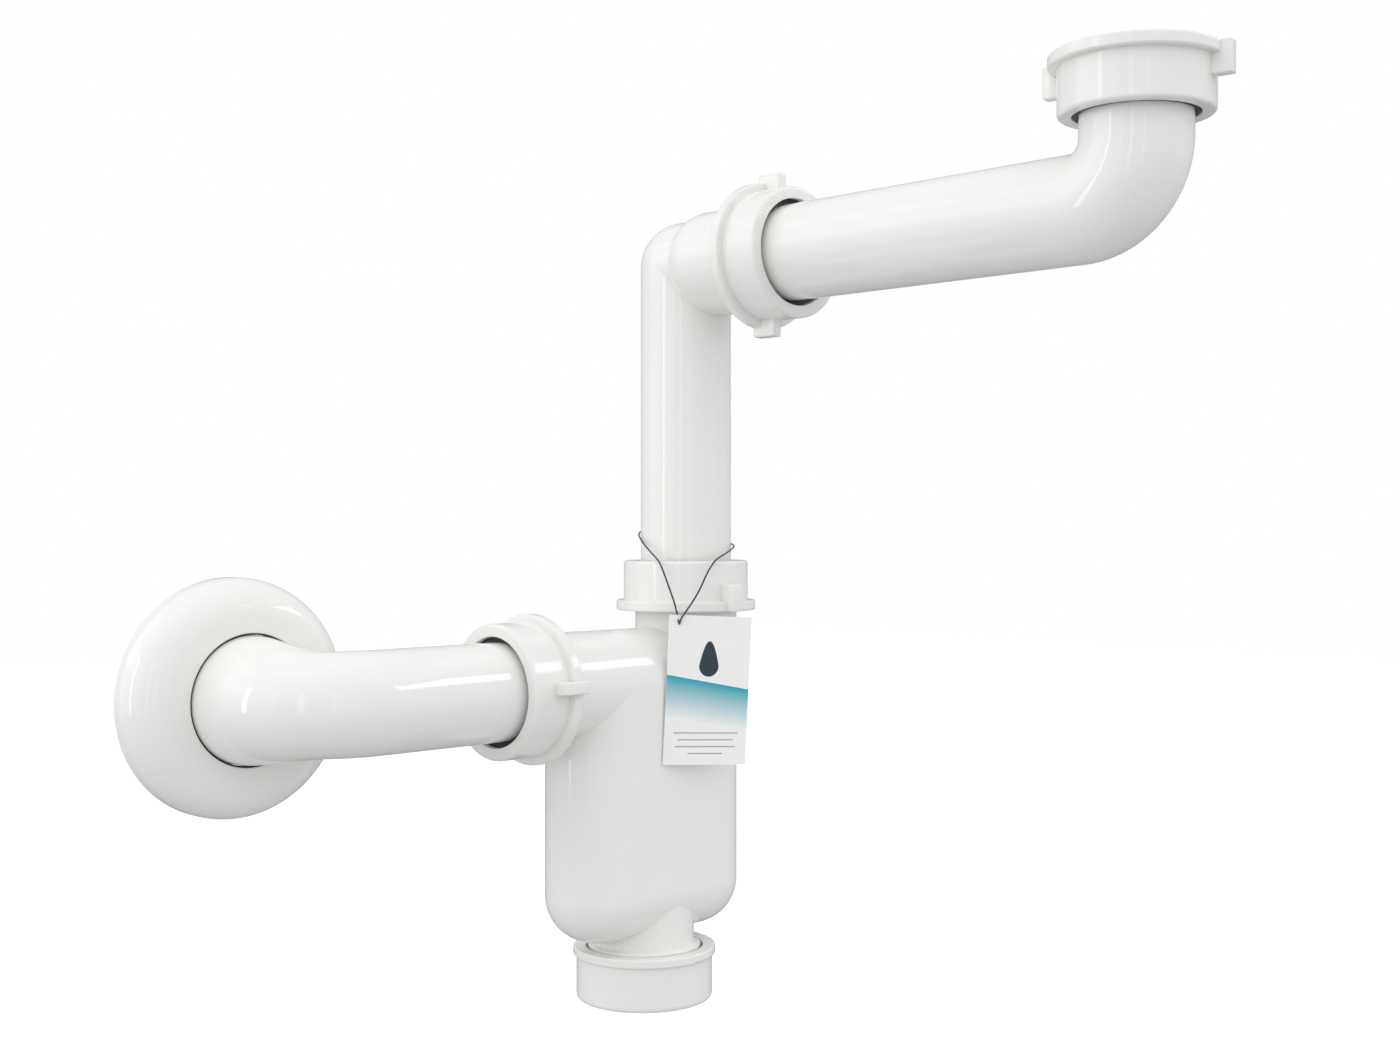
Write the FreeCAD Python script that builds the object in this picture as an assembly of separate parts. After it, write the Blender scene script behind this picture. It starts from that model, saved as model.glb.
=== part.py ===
import FreeCAD, Part
import math
import os

from FreeCAD import Vector

# Space saving sink trap. Millimetres, +Z up.
# The origin is the centre of the sink union's open face. The arm runs to +Y, the
# outlet leaves the trap to -X, and the wall pipe then turns back to +Y.

# Pipes
pipe_r = 20.0            # outside of the 40 mm waste pipe
pipe_wall = 1.8
socket_r = 22.5          # outside of sockets, necks and the trap body's round ends
slip = 0.3               # radial room of a pipe in its socket
wall_leg_r = 25.0        # outside of the 50 mm pipe that enters the wall
wall_leg_wall = 1.9

# Layout between the axes
arm_drop = 51.8          # union face down to the arm's axis
arm_length = 226.0       # sink axis to riser axis
riser_height = 181.1     # arm's axis down to the outlet's axis
wall_reach = 192.5       # riser axis to the wall leg's axis
body_depth = 108.9       # outlet's axis down to the underside of the trap body
chamber_spacing = 52.0   # riser axis to the axis of the outlet chamber

# Bends
arm_bend_r = 23.0        # centre line of the inlet bend
wall_bend_r = 28.0       # centre line of the wall pipe's bend
swell_end = 40.0         # wall leg's own axis point to the end of its swell
bottom_round = 20.0      # under edge of the trap body

# Union nuts, all from one mould
nut_r = 27.5
nut_height = 21.8
nut_lip = 3.0            # inturned end that draws the joint together
nut_mouth_r = 22.3       # hole in that end
nut_thread_depth = 11.8  # threaded part of the bore, from the open face
nut_relief_r = 24.3      # bore behind the thread, where the seal and the ring lie
nut_edge = 1.3           # its outer rounding
flange_r = 30.8
flange_height = 4.4
lug_reach = 34.6
lug_width = 5.2
lug_height = 11.8
lug_edge = 0.7
thread_r = 23.6          # male thread, taken at its mean
thread_gap = 0.3
face_gap = 0.1           # between flat faces that turn on each other
small_edge = 0.4         # rounding of most thin edges
fine_edge = 0.3          # rounding of seals and slip rings
soft_edge = 0.8          # rounding of flanges and rims
thread_edge = 0.6        # rounding at a thread's open end
thread_taper = 1.5       # run-out of a sleeve's thread
cut_over = 1.0           # how far a cutting tool runs past the face it cuts

# Turn of each nut's lugs about its own axis, degrees
sink_lug_turn = -10.0
riser_lug_turn = -3.0
inlet_lug_turn = -5.0
outlet_lug_turn = 5.0

# Compression joint: slip ring and cone seal
ring_height = 2.0
ring_r = 23.3
seal_head = 3.0
seal_r = 22.9
cone_mouth_r = 22.7      # socket's chamfer at its end face
cone_length = 4.0
seal_gap = 0.25          # cone of the seal to cone of the socket
seal_grip = 0.05         # seal to pipe

# Where the pipes end and where each nut stands
collar_r = 23.4
collar_height = 2.0
flat_seal_height = 2.5
flat_seal_width = 3.2
arm_insert = 31.8        # arm inside the riser's socket
riser_insert = 46.0      # riser inside the trap's neck
wall_insert = 16.5       # wall pipe inside the trap's outlet
socket_start = 0.6       # riser axis to the back of the socket's ball-shaped shoulder
socket_round = 18.0      # rounding of that shoulder
socket_stop = 16.0       # riser axis to the stop inside the socket
riser_nut_at = 44.8      # riser axis to that nut's open face
inlet_nut_at = 29.7      # outlet's axis up to the inlet nut's open face
outlet_nut_at = 86.7     # riser axis to the outlet nut's open face
outlet_stop_at = 75.0    # riser axis to the stop inside the outlet
outlet_stop_width = 1.6
outlet_stop_height = 1.8

# Trap body inside
body_wall = 2.2
divider = 2.2            # wall between the two chambers
divider_at = 23.5        # riser axis to the middle of that wall
divider_clear = 23.0     # passage under it

# Cleanout neck, cup and seal
cup_at = 25.3            # riser axis to the cup's axis
neck_r = 21.5
neck_bore_r = 19.3
neck_root = 20.0         # how far the neck reaches up into the body
cup_drop = 5.5           # underside of the body to the cup's rim
cup_height = 22.8
cup_r = 29.4
cup_rim_r = 30.8
cup_rim_height = 3.8
cup_floor = 2.5
cup_edge = 2.2
cup_dish = 1.0           # shallow recess under the cup
cup_dish_r = 22.0
cup_thread_r = 25.0
cup_thread_height = 14.0
cup_seal_height = 2.8

# Wall rosette and the pipe through it
rosette_at = 40.5        # riser plane to the rosette's lip
rosette_depth = 19.0
rosette_r = 46.8
rosette_round = 12.0
rosette_wall = 2.0
rosette_gap = 0.7
wall_stub = 40.0         # pipe behind the rosette
mark_from_end = 38.0     # insertion mark: a shallow groove round the pipe
mark_width = 1.0
mark_depth = 0.3

# Hang tag and its string
tag_width = 38.6
tag_height = 63.2
tag_card = 0.4
tag_hole_r = 1.3
tag_hole_in = 4.6        # from the card's left edge
tag_hole_down = 3.0      # from its top edge
tag_stand = 34.0         # riser axis to the back of the card
tag_turn = 20.0          # card turned from the wall plane
tag_tilt = 3.0
tag_below_nut = 0.6      # card's top edge under the nut's flange
tag_side = 18.65         # hole to the left of the riser, along the card
string_d = 0.9
run_share = 0.45         # share of the shorter run that an arc takes
look_turn = 45.0         # the string's points are given in a frame turned by this

# Points of the string: to the right, to the front and up from the nut's top face
string_points = [
    (24.9, -5.4, 5.9), (24.2, 3.0, 5.3), (20.8, 13.5, 3.7), (15.8, 23.5, 1.9),
    (11.2, 31.2, -2.7), (7.2, 35.6, -8.2), (3.6, 36.8, -14.2), (0.6, 37.8, -19.7),
    (-1.4, 40.0, -23.3), (-2.4, 40.2, -26.1), (-2.6, 37.7, -26.1), (-3.2, 37.2, -22.9),
    (-4.2, 36.6, -17.3), (-5.6, 36.0, -11.1), (-8.0, 33.0, -5.3), (-11.2, 27.0, -0.5),
    (-16.0, 19.5, 3.7), (-21.5, 11.5, 7.7), (-24.4, 2.0, 10.9), (-23.6, -8.0, 12.7),
    (-17.8, -17.4, 12.9), (-9.0, -23.4, 12.3), (1.2, -25.0, 10.9), (11.2, -22.4, 9.3),
    (19.0, -16.3, 7.7), (24.6, -7.4, 6.9),
]

# Derived sizes
pipe_bore = pipe_r - pipe_wall
socket_bore = pipe_r + slip
wall_leg_bore = wall_leg_r - wall_leg_wall
nut_bore = thread_r + thread_gap
lip_face = nut_height - nut_lip
ring_top = lip_face - face_gap
seal_top = ring_top - ring_height - face_gap
socket_end = seal_top - seal_head - face_gap
cone_slope = (cone_mouth_r - socket_bore) / cone_length
collar_top = -seal_top + collar_height

# Derived places
arm_z = -arm_drop
outlet_z = arm_z - riser_height
body_bottom = outlet_z - body_depth
cup_top = body_bottom - cup_drop
cup_bottom = cup_top - cup_height
seal_floor = cup_bottom + cup_floor
neck_end = seal_floor + cup_seal_height + face_gap
sink_axis = Vector(0, 0, 0)
riser_foot = Vector(0, arm_length, outlet_z)
arm_root = Vector(0, arm_length, arm_z)
wall_root = Vector(-wall_reach, arm_length, outlet_z)
cup_root = Vector(-cup_at, arm_length, 0)


def frame(origin, along, lug_side):
    # A local frame: its Z runs along a joint's axis, its X points at one lug.
    across = along.cross(lug_side)
    turn = FreeCAD.Rotation(lug_side, across, along, "ZXY")
    return FreeCAD.Placement(origin, turn)


sink_frame = frame(sink_axis, Vector(0, 0, 1), Vector(0, -1, 0))
sink_nut_frame = frame(sink_axis, Vector(0, 0, -1), Vector(0, -1, 0))
arm_frame = frame(arm_root, Vector(0, -1, 0), Vector(0, 0, 1))
inlet_frame = frame(riser_foot, Vector(0, 0, 1), Vector(0, -1, 0))
outlet_frame = frame(riser_foot, Vector(-1, 0, 0), Vector(0, -1, 0))
wall_frame = frame(wall_root, Vector(0, 1, 0), Vector(0, 0, 1))
cup_frame = frame(cup_root, Vector(0, 0, 1), Vector(1, 0, 0))


def placed(shape, placement):
    return shape.transformed(placement.toMatrix(), True)


def corner_edge(before, at, after, radius):
    # Arc that rounds one corner, as its two ends and its middle.
    back = (before - at).normalize()
    on = (after - at).normalize()
    half = back.getAngle(on) / 2
    reach = radius / math.tan(half)
    inward = (back + on).normalize()
    middle = at + inward * (radius / math.sin(half) - radius)
    return at + back * reach, middle, at + on * reach


def rounded_wire(points, radii, closed):
    # Straight runs through the points, with a tangent arc at each rounded corner.
    count = len(points)
    edges, last, first = [], None, None
    for i, (at, radius) in enumerate(zip(points, radii)):
        is_end = not closed and i in (0, count - 1)
        if radius > 0 and not is_end:
            start, middle, end = corner_edge(points[i - 1], at, points[(i + 1) % count], radius)
        else:
            start, middle, end = at, None, at
        if last is not None and (last - start).Length > 1e-6:
            edges.append(Part.LineSegment(last, start).toShape())
        if middle is not None:
            edges.append(Part.Arc(start, middle, end).toShape())
        first = start if first is None else first
        last = end
    if closed and (last - first).Length > 1e-6:
        edges.append(Part.LineSegment(last, first).toShape())
    return Part.Wire(edges)


def turned(corners, placement):
    # Solid of revolution. Each corner is (radius, height along the axis, rounding).
    points = [Vector(c[0], 0, c[1]) for c in corners]
    wire = rounded_wire(points, [c[2] for c in corners], True)
    solid = Part.Face(wire).revolve(Vector(0, 0, 0), Vector(0, 0, 1), 360)
    return placed(solid, placement)


def rod(radius, start, end, placement):
    solid = Part.makeCylinder(radius, end - start, Vector(0, 0, start))
    return placed(solid, placement)


def swept(path, first_r, last_r):
    # Round bar along a path, easing from one radius to the other.
    start = path.Edges[0]
    stop = path.Edges[-1]
    ends = [
        (start.valueAt(start.FirstParameter), start.tangentAt(start.FirstParameter), first_r),
        (stop.valueAt(stop.LastParameter), stop.tangentAt(stop.LastParameter), last_r),
    ]
    if first_r == last_r:
        ends = ends[:1]
    rings = [Part.Wire(Part.makeCircle(r, at, along)) for at, along, r in ends]
    return path.makePipeShell(rings, True, True)


def union_nut(at, lug_turn, placement):
    # Flange at the open end, lip at the other, two lugs that straddle the flange.
    top = nut_height
    shell = turned([
        (nut_bore, 0, small_edge), (flange_r, 0, soft_edge), (flange_r, flange_height, soft_edge),
        (nut_r, flange_height, small_edge), (nut_r, top, nut_edge), (nut_mouth_r, top, small_edge),
        (nut_mouth_r, lip_face, 0), (nut_relief_r, lip_face, 0),
        (nut_relief_r, nut_thread_depth, 0), (nut_bore, nut_thread_depth, 0),
    ], FreeCAD.Placement())
    wing_start = (nut_r + nut_bore) / 2
    nut = shell
    for side in (0, 180):
        wing = Part.makeBox(lug_reach - wing_start, lug_width, lug_height,
                            Vector(wing_start, -lug_width / 2, 0))
        outer = [e for e in wing.Edges if e.BoundBox.XMin > lug_reach - 0.01]
        wing = wing.makeFillet(lug_edge, outer)
        nut = nut.fuse(wing.rotated(Vector(0, 0, 0), Vector(0, 0, 1), lug_turn + side))
    shift = FreeCAD.Placement(Vector(0, 0, at), FreeCAD.Rotation())
    return placed(nut.removeSplitter(), placement.multiply(shift))


def slip_ring(at, placement):
    bottom = at + ring_top - ring_height
    return turned([
        (socket_bore, bottom, 0), (ring_r, bottom, fine_edge),
        (ring_r, at + ring_top, fine_edge), (socket_bore, at + ring_top, 0),
    ], placement)


def cone_seal(at, placement):
    # Head against the slip ring, cone in the socket's mouth.
    shoulder = at + socket_end + face_gap
    nose = at + socket_end - cone_length + 2 * seal_gap
    inner = pipe_r + seal_grip
    cone_top = cone_mouth_r - seal_gap
    nose_r = cone_top - cone_slope * (shoulder - nose)
    return turned([
        (inner, nose, 0), (nose_r, nose, 0), (cone_top, shoulder, 0), (seal_r, shoulder, 0),
        (seal_r, at + seal_top, fine_edge), (inner, at + seal_top, fine_edge),
    ], placement)


def socket_mouth(at, placement):
    # The cone cut into a socket's end, and the bore that it opens.
    end = at + socket_end
    return turned([
        (0, end - cone_length, 0), (socket_bore, end - cone_length, 0),
        (cone_mouth_r, end, 0), (cone_mouth_r, end + cut_over, 0), (0, end + cut_over, 0),
    ], placement)


def thread_sleeve(at, placement):
    # The threaded end of a socket, a little thicker than the socket.
    start = at + face_gap
    end = at + socket_end
    return turned([
        (socket_bore, start, 0), (socket_r, start, 0), (thread_r, start + thread_taper, 0),
        (thread_r, end, thread_edge), (socket_bore, end, 0),
    ], placement)


def inlet_path(overrun):
    # From the collar down, round the bend and along the arm.
    arm_end = arm_length - riser_nut_at - socket_end + arm_insert + overrun
    points = [Vector(0, 0, collar_top + overrun), Vector(0, 0, arm_z), Vector(0, arm_end, arm_z)]
    return rounded_wire(points, [0, arm_bend_r, 0], False)


def inlet_bend():
    bend = swept(inlet_path(0), pipe_r, pipe_r)
    collar = rod(collar_r, collar_top - collar_height, collar_top, sink_frame)
    bore = swept(inlet_path(cut_over), pipe_bore, pipe_bore)
    return bend.fuse(collar).cut(bore).removeSplitter()


def flat_seal():
    bottom = collar_top
    return turned([
        (collar_r - flat_seal_width, bottom, fine_edge), (collar_r, bottom, fine_edge),
        (collar_r, bottom + flat_seal_height, fine_edge),
        (collar_r - flat_seal_width, bottom + flat_seal_height, fine_edge),
    ], sink_frame)


def riser_solid(radius, foot, mouth):
    # Vertical pipe, ball corner and horizontal branch of one radius.
    upright = rod(radius, foot, riser_height, inlet_frame)
    branch = rod(radius, 0, mouth, arm_frame)
    return upright.fuse([Part.makeSphere(radius, arm_root), branch])


def riser_bend():
    mouth = riser_nut_at + socket_end
    foot = inlet_nut_at + socket_end - riser_insert
    socket = turned([
        (0, socket_start, 0), (socket_r, socket_start, socket_round), (socket_r, mouth, 0), (0, mouth, 0),
    ], arm_frame)
    outside = riser_solid(pipe_r, foot, mouth).fuse([socket, thread_sleeve(riser_nut_at, arm_frame)])
    inside = riser_solid(pipe_bore, foot - cut_over, mouth + cut_over).fuse([
        rod(socket_bore, socket_stop, mouth + cut_over, arm_frame),
        socket_mouth(riser_nut_at, arm_frame),
    ])
    return outside.cut(inside).removeSplitter()


def stadium(radius, bottom, top, rounding):
    # Flat-sided body with two half-round ends and a rounded under edge.
    right = Vector(0, arm_length, bottom)
    left = Vector(-chamber_spacing, arm_length, bottom)
    side = Vector(0, radius, 0)
    edges = [
        Part.LineSegment(left - side, right - side).toShape(),
        Part.Arc(right - side, right + Vector(radius, 0, 0), right + side).toShape(),
        Part.LineSegment(right + side, left + side).toShape(),
        Part.Arc(left + side, left - Vector(radius, 0, 0), left - side).toShape(),
    ]
    block = Part.Face(Part.Wire(edges)).extrude(Vector(0, 0, top - bottom))
    under = [e for e in block.Edges if e.BoundBox.ZMax < bottom + 0.01]
    return block.makeFillet(rounding, under)


def cleanout_neck():
    shoulder = neck_end + cup_thread_height
    top = body_bottom + neck_root
    flare = cup_thread_r - neck_r
    return turned([
        (0, neck_end, 0), (cup_thread_r, neck_end, thread_edge), (cup_thread_r, shoulder, 0),
        (neck_r, shoulder + flare, 0), (neck_r, top, 0), (0, top, 0),
    ], cup_frame)


def trap_outside():
    neck_top = inlet_nut_at + socket_end
    outlet_mouth = outlet_nut_at + socket_end
    return stadium(socket_r, body_bottom, outlet_z, bottom_round).fuse([
        rod(socket_r, -inlet_nut_at, neck_top, inlet_frame),
        rod(socket_r, 0, outlet_mouth, outlet_frame),
        thread_sleeve(inlet_nut_at, inlet_frame),
        thread_sleeve(outlet_nut_at, outlet_frame),
        cleanout_neck(),
    ])


def divider_wall():
    bottom = body_bottom + body_wall + divider_clear
    return Part.makeBox(divider, 2 * socket_r, outlet_z - bottom,
                        Vector(-divider_at - divider / 2, arm_length - socket_r, bottom))


def trap_inside():
    neck_top = inlet_nut_at + socket_end
    outlet_mouth = outlet_nut_at + socket_end
    stop_end = outlet_stop_at - outlet_stop_width
    chambers = stadium(socket_bore, body_bottom + body_wall, outlet_z, bottom_round - body_wall)
    return chambers.cut(divider_wall()).fuse([
        rod(socket_bore, -cut_over, neck_top + cut_over, inlet_frame),
        rod(socket_bore, divider_at + divider / 2, stop_end, outlet_frame),
        rod(socket_bore - outlet_stop_height, stop_end - cut_over, outlet_stop_at + cut_over, outlet_frame),
        rod(socket_bore, outlet_stop_at, outlet_mouth + cut_over, outlet_frame),
        socket_mouth(inlet_nut_at, inlet_frame),
        socket_mouth(outlet_nut_at, outlet_frame),
        rod(neck_bore_r, neck_end - cut_over, body_bottom + body_wall + divider_clear / 2, cup_frame),
    ])


def trap_body():
    return trap_outside().cut(trap_inside()).removeSplitter()


def wall_pipe_solid(straight_r, leg_r, extra):
    # Straight run and first half of the bend in one size. From there it swells to the wall leg.
    inner_end = outlet_nut_at + socket_end - wall_insert - extra
    leg_end = rosette_at + rosette_depth + wall_stub + extra
    centre = wall_root + Vector(wall_bend_r, wall_bend_r, 0)
    arc = []
    for part_turn in (0, 0.25, 0.5, 0.75, 1):
        turn = part_turn * math.pi / 2
        arc.append(centre - Vector(math.sin(turn), math.cos(turn), 0) * wall_bend_r)
    half_arc = wall_bend_r * math.pi / 4
    swell_run = swell_end - wall_bend_r
    middle_r = straight_r + (leg_r - straight_r) * half_arc / (half_arc + swell_run)
    cone = Part.makeCone(middle_r, leg_r, swell_run, Vector(0, 0, wall_bend_r))
    return rod(straight_r, inner_end, wall_reach - wall_bend_r, outlet_frame).fuse([
        swept(Part.Wire(Part.Arc(*arc[:3]).toShape()), straight_r, straight_r),
        swept(Part.Wire(Part.Arc(*arc[2:]).toShape()), straight_r, middle_r),
        placed(cone, wall_frame),
        rod(leg_r, swell_end, leg_end, wall_frame),
    ])


def wall_pipe():
    outside = wall_pipe_solid(pipe_r, wall_leg_r, 0)
    inside = wall_pipe_solid(pipe_bore, wall_leg_bore, cut_over)
    mark_top = rosette_at + rosette_depth + wall_stub - mark_from_end
    mark = rod(wall_leg_r + cut_over, mark_top - mark_width, mark_top, wall_frame).cut(
        rod(wall_leg_r - mark_depth, mark_top - mark_width, mark_top, wall_frame))
    return outside.cut([inside, mark]).removeSplitter()


def wall_rosette():
    # Domed ring that covers the hole in the wall.
    lip = wall_leg_r + rosette_gap
    back = rosette_at + rosette_depth
    inner_r = rosette_r - rosette_wall
    return turned([
        (lip, rosette_at, small_edge), (rosette_r, rosette_at, rosette_round), (rosette_r, back, small_edge),
        (inner_r, back, small_edge), (inner_r, rosette_at + rosette_wall, rosette_round - rosette_wall),
        (lip, rosette_at + rosette_wall, small_edge),
    ], wall_frame)


def cleanout_cup():
    bore = cup_thread_r + thread_gap
    rim_bottom = cup_top - cup_rim_height
    return turned([
        (0, cup_bottom + cup_dish, 0), (cup_dish_r, cup_bottom + cup_dish, small_edge),
        (cup_dish_r + cup_dish, cup_bottom, small_edge), (cup_r, cup_bottom, cup_edge),
        (cup_r, rim_bottom, small_edge), (cup_rim_r, rim_bottom, soft_edge), (cup_rim_r, cup_top, soft_edge),
        (bore, cup_top, thread_edge), (bore, seal_floor, 0), (0, seal_floor, 0),
    ], cup_frame)


def cleanout_seal():
    bottom = seal_floor + face_gap / 2
    return turned([
        (neck_bore_r, bottom, small_edge), (cup_thread_r, bottom, small_edge),
        (cup_thread_r, bottom + cup_seal_height, small_edge),
        (neck_bore_r, bottom + cup_seal_height, small_edge),
    ], cup_frame)


def hang_tag():
    card = Part.makeBox(tag_width, tag_card, tag_height,
                        Vector(-tag_hole_in, -tag_card, tag_hole_down - tag_height))
    hole = Part.makeCylinder(tag_hole_r, 3 * tag_card, Vector(0, tag_card, 0), Vector(0, -1, 0))
    tilt = FreeCAD.Rotation(Vector(0, 1, 0), tag_tilt)
    spin = FreeCAD.Rotation(Vector(0, 0, 1), -tag_turn)
    hole_z = inlet_nut_at - tag_below_nut - tag_hole_down
    hole_at = riser_foot + spin.multVec(Vector(-tag_side, -tag_stand, 0)) + Vector(0, 0, hole_z)
    return placed(card.cut(hole), FreeCAD.Placement(hole_at, spin.multiply(tilt)))


def string_route():
    # The points turned into this frame, and the radius of the arc at each.
    spin = FreeCAD.Rotation(Vector(0, 0, 1), -look_turn)
    nut_top = riser_foot + Vector(0, 0, inlet_nut_at + nut_height)
    points = [nut_top + spin.multVec(Vector(x, -front, z)) for x, front, z in string_points]
    radii = [0.0]
    for before, at, after in zip(points, points[1:], points[2:]):
        shorter = min((at - before).Length, (after - at).Length)
        half_turn = (at - before).getAngle(after - at) / 2
        radii.append(run_share * shorter / math.tan(half_turn))
    return points, radii + [0.0]


def tag_string():
    points, radii = string_route()
    path = rounded_wire(points, radii, False)
    print("string length %.1f, radii" % path.Length, [round(r, 1) for r in radii[1:-1]])
    tube = swept(path, string_d / 2, string_d / 2)
    section = math.pi * string_d ** 2 / 4
    print("string volume over section times length: %.4f" % (tube.Volume / (section * path.Length)))
    return tube


def build():
    parts = {
        "inlet_bend": inlet_bend(),
        "sink_union_nut": union_nut(0, sink_lug_turn, sink_nut_frame),
        "sink_flat_seal": flat_seal(),
        "sink_slip_ring": slip_ring(0, sink_nut_frame),
        "riser_bend": riser_bend(),
        "trap_body": trap_body(),
        "wall_pipe": wall_pipe(),
        "wall_rosette": wall_rosette(),
        "cleanout_cup": cleanout_cup(),
        "cleanout_seal": cleanout_seal(),
        "hang_tag": hang_tag(),
        "tag_string": tag_string(),
    }
    joints = [
        ("riser", riser_nut_at, riser_lug_turn, arm_frame),
        ("trap_inlet", inlet_nut_at, inlet_lug_turn, inlet_frame),
        ("trap_outlet", outlet_nut_at, outlet_lug_turn, outlet_frame),
    ]
    for name, at, lug_turn, placement in joints:
        parts[name + "_union_nut"] = union_nut(at, lug_turn, placement)
        parts[name + "_slip_ring"] = slip_ring(at, placement)
        parts[name + "_cone_seal"] = cone_seal(at, placement)
    return parts


os.makedirs("parts", exist_ok=True)
for name, shape in build().items():
    print("%-24s solids %d valid %s volume %.0f" % (name, len(shape.Solids), shape.isValid(), shape.Volume))
    shape.exportStep("parts/%s.step" % name)
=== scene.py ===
import bmesh, bpy, math
import numpy as np
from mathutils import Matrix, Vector


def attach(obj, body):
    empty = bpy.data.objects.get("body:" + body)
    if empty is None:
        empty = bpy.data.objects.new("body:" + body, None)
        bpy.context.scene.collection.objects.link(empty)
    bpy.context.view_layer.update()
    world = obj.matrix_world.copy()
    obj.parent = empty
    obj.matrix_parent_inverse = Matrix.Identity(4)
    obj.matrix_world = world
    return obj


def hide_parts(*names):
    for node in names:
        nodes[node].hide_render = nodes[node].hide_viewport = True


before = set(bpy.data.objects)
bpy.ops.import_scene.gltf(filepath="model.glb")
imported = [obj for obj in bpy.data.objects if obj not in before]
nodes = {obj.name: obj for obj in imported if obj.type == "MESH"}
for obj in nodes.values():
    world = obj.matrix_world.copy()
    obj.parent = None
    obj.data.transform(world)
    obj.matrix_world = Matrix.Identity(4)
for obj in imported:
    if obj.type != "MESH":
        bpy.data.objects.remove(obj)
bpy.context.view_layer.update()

scene = bpy.context.scene
print("frame loaded:", len(nodes), "CAD nodes")


# Camera: level, turned 45 degrees to both pipe runs, as the photograph was taken.
cameraLook = {
    "place": (-0.5365, -0.3194, -0.1658), "turn": (90.0, 0.0, -45.0),
    "lens": 44.23, "sensor": 36.0, "near": 0.02, "far": 50.0,
}

lensData = bpy.data.cameras.new("photoCamera")
lensData.lens = cameraLook["lens"]
lensData.sensor_width = cameraLook["sensor"]
lensData.clip_start = cameraLook["near"]
lensData.clip_end = cameraLook["far"]
photoCamera = bpy.data.objects.new("photoCamera", lensData)
photoCamera.location = cameraLook["place"]
photoCamera.rotation_euler = [math.radians(a) for a in cameraLook["turn"]]
scene.collection.objects.link(photoCamera)
scene.camera = photoCamera
print("camera placed")


# Where the joints stand: a point of each axis, the way out of the socket, and a side that the lugs are set from.
axisSet = {
    "sink": {"at": (0, 0, 0), "along": (0, 0, -1), "side": (0, -1, 0)},
    "riser": {"at": (0, 0.226, -0.0518), "along": (0, -1, 0), "side": (0, 0, 1)},
    "trap_inlet": {"at": (0, 0.226, -0.2329), "along": (0, 0, 1), "side": (0, -1, 0)},
    "trap_outlet": {"at": (0, 0.226, -0.2329), "along": (-1, 0, 0), "side": (0, -1, 0)},
    "wall": {"at": (-0.1925, 0.226, -0.2329), "along": (0, 1, 0), "side": (0, 0, 1)},
    "cup": {"at": (-0.0253, 0.226, 0), "along": (0, 0, 1), "side": (1, 0, 0)},
}
sameRadius = 1e-6  # radii closer than this belong to one surface


def unit(v):
    # Vector divided by its length.
    v = np.asarray(v, float)
    return v / np.linalg.norm(v)


def joinMesh(name, parts):
    # One mesh from several grids of points: each part is (points, quads), and its quads are counted on from the last.
    points, quads, start = [], [], 0
    for co, faces in parts:
        points.append(co)
        quads.append(faces + start)
        start += len(co)
    mesh = bpy.data.meshes.new(name)
    mesh.from_pydata(np.concatenate(points), [], np.concatenate(quads))
    return mesh


def gridQuads(rows, cols, wrapRows, wrapCols):
    # Quads between neighbouring rows and columns of a grid, closed on itself where it wraps.
    i, j = np.meshgrid(np.arange(rows - (not wrapRows)), np.arange(cols - (not wrapCols)), indexing="ij")
    i, j = i.ravel(), j.ravel()
    nextRow, nextCol = (i + 1) % rows, (j + 1) % cols
    return np.stack([i * cols + j, nextRow * cols + j, nextRow * cols + nextCol, i * cols + nextCol], 1)


def finishPiece(name, mesh, body, material, replaced=(), sharp=32.0, merged=1e-7):
    # Doubles at the poles are merged, faces turned outwards, and edges over the sharp angle kept crisp.
    shape = bmesh.new()
    shape.from_mesh(mesh)
    bmesh.ops.remove_doubles(shape, verts=shape.verts, dist=merged)
    bmesh.ops.recalc_face_normals(shape, faces=shape.faces)
    shape.to_mesh(mesh)
    shape.free()
    mesh.shade_smooth()
    mesh.set_sharp_from_angle(angle=math.radians(sharp))
    piece = bpy.data.objects.new(name, mesh)
    scene.collection.objects.link(piece)
    mesh.materials.append(material)
    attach(piece, body)
    if replaced:
        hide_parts(*replaced)
    return piece


def roundedProfile(corners, steps=6, guard=0.00008, longest=None):
    # Closed outline of (height, radius) corners. A corner of rounding r is cut back by r over the tangent of its half
    # angle and bridged by an arc; a guard point just outside each arc keeps the flats flat.
    pts = np.array([c[:2] for c in corners], float)
    out = []
    for i, (at, rounding) in enumerate(zip(pts, [c[2] for c in corners])):
        back, on = pts[i - 1] - at, pts[(i + 1) % len(pts)] - at
        if rounding <= 0:
            out.append(at[None])
            continue
        back, on = unit(back), unit(on)
        half = math.acos(np.clip(back @ on, -1, 1)) / 2
        reach = rounding / math.tan(half)
        centre = at + unit(back + on) * rounding / math.sin(half)
        first, last = at + back * reach - centre, at + on * reach - centre
        a, b = math.atan2(first[1], first[0]), math.atan2(last[1], last[0])
        sweep = (b - a + math.pi) % (2 * math.pi) - math.pi
        angles = a + sweep * np.linspace(0, 1, steps + 1)
        arc = centre + rounding * np.stack([np.cos(angles), np.sin(angles)], 1)
        out += [arc[:1] + back * guard, arc, arc[-1:] + on * guard]
    line = np.concatenate(out)
    if longest is None:
        return line
    filled = []  # long runs are divided so that the outline can follow a bend
    for a, b in zip(line, np.roll(line, -1, 0)):
        count = max(1, int(math.ceil(np.linalg.norm(b - a) / longest)))
        filled.append(a + (b - a) * np.arange(count)[:, None] / count)
    return np.concatenate(filled)


def straightPath(axis):
    # Point = origin + height times the axis; the ring's two directions stay the same all along.
    at, along = np.array(axis["at"], float), unit(axis["along"])
    side = unit(axis["side"])
    across = np.cross(along, side)

    def path(s):
        s = np.asarray(s, float)[:, None]
        return at + s * along, np.broadcast_to(side, (len(s), 3)), np.broadcast_to(across, (len(s), 3))
    return path


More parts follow.
